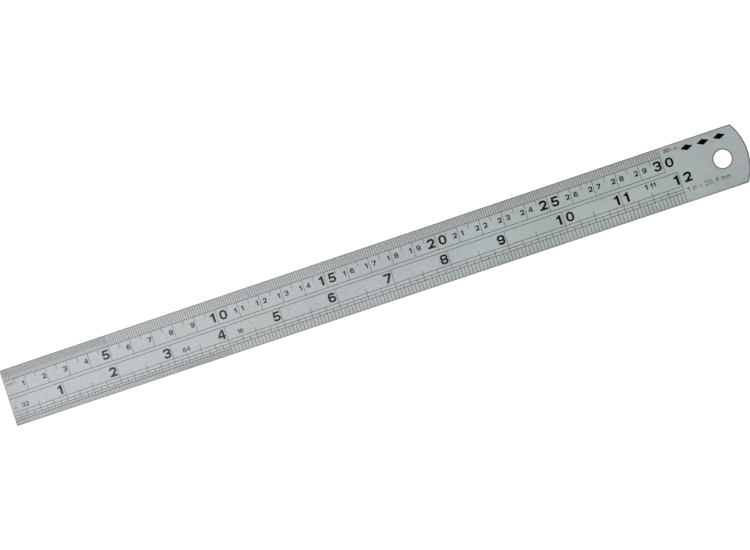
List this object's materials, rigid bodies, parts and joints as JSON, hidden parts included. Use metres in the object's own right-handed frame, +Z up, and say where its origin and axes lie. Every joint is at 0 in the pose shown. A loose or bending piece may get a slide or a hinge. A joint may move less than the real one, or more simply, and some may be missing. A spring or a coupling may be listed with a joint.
{
  "type": "steel rule",
  "caption": "Flat steel rule with a square zero end, a rounded end with a hang hole, and etched metric and inch scales filled with black enamel.",
  "frame": {"origin": "middle of the underside, on the surface that the rule lies on", "axes": "+X along the blade from the square zero end towards the hang hole, +Y across it towards the metric edge, +Z up through the thickness"},
  "size_m": [0.3348, 0.025, 0.001],
  "materials": {
    "steel": "satin stainless steel, brushed along the blade",
    "enamel": "black filling enamel, slightly glossy"
  },
  "bodies": {
    "root": {"blade": "steel", "millimetre_scale": "enamel", "half_millimetre_marks": "enamel", "inch_scale": "enamel", "sixty_fourth_marks": "enamel", "five_centimetre_numerals": "enamel", "centimetre_numerals": "enamel", "inch_numerals": "enamel", "division_numbers": "enamel", "unit_labels": "enamel", "conversion_note": "enamel", "end_ornament": "enamel"}
  },
  "joints": []
}
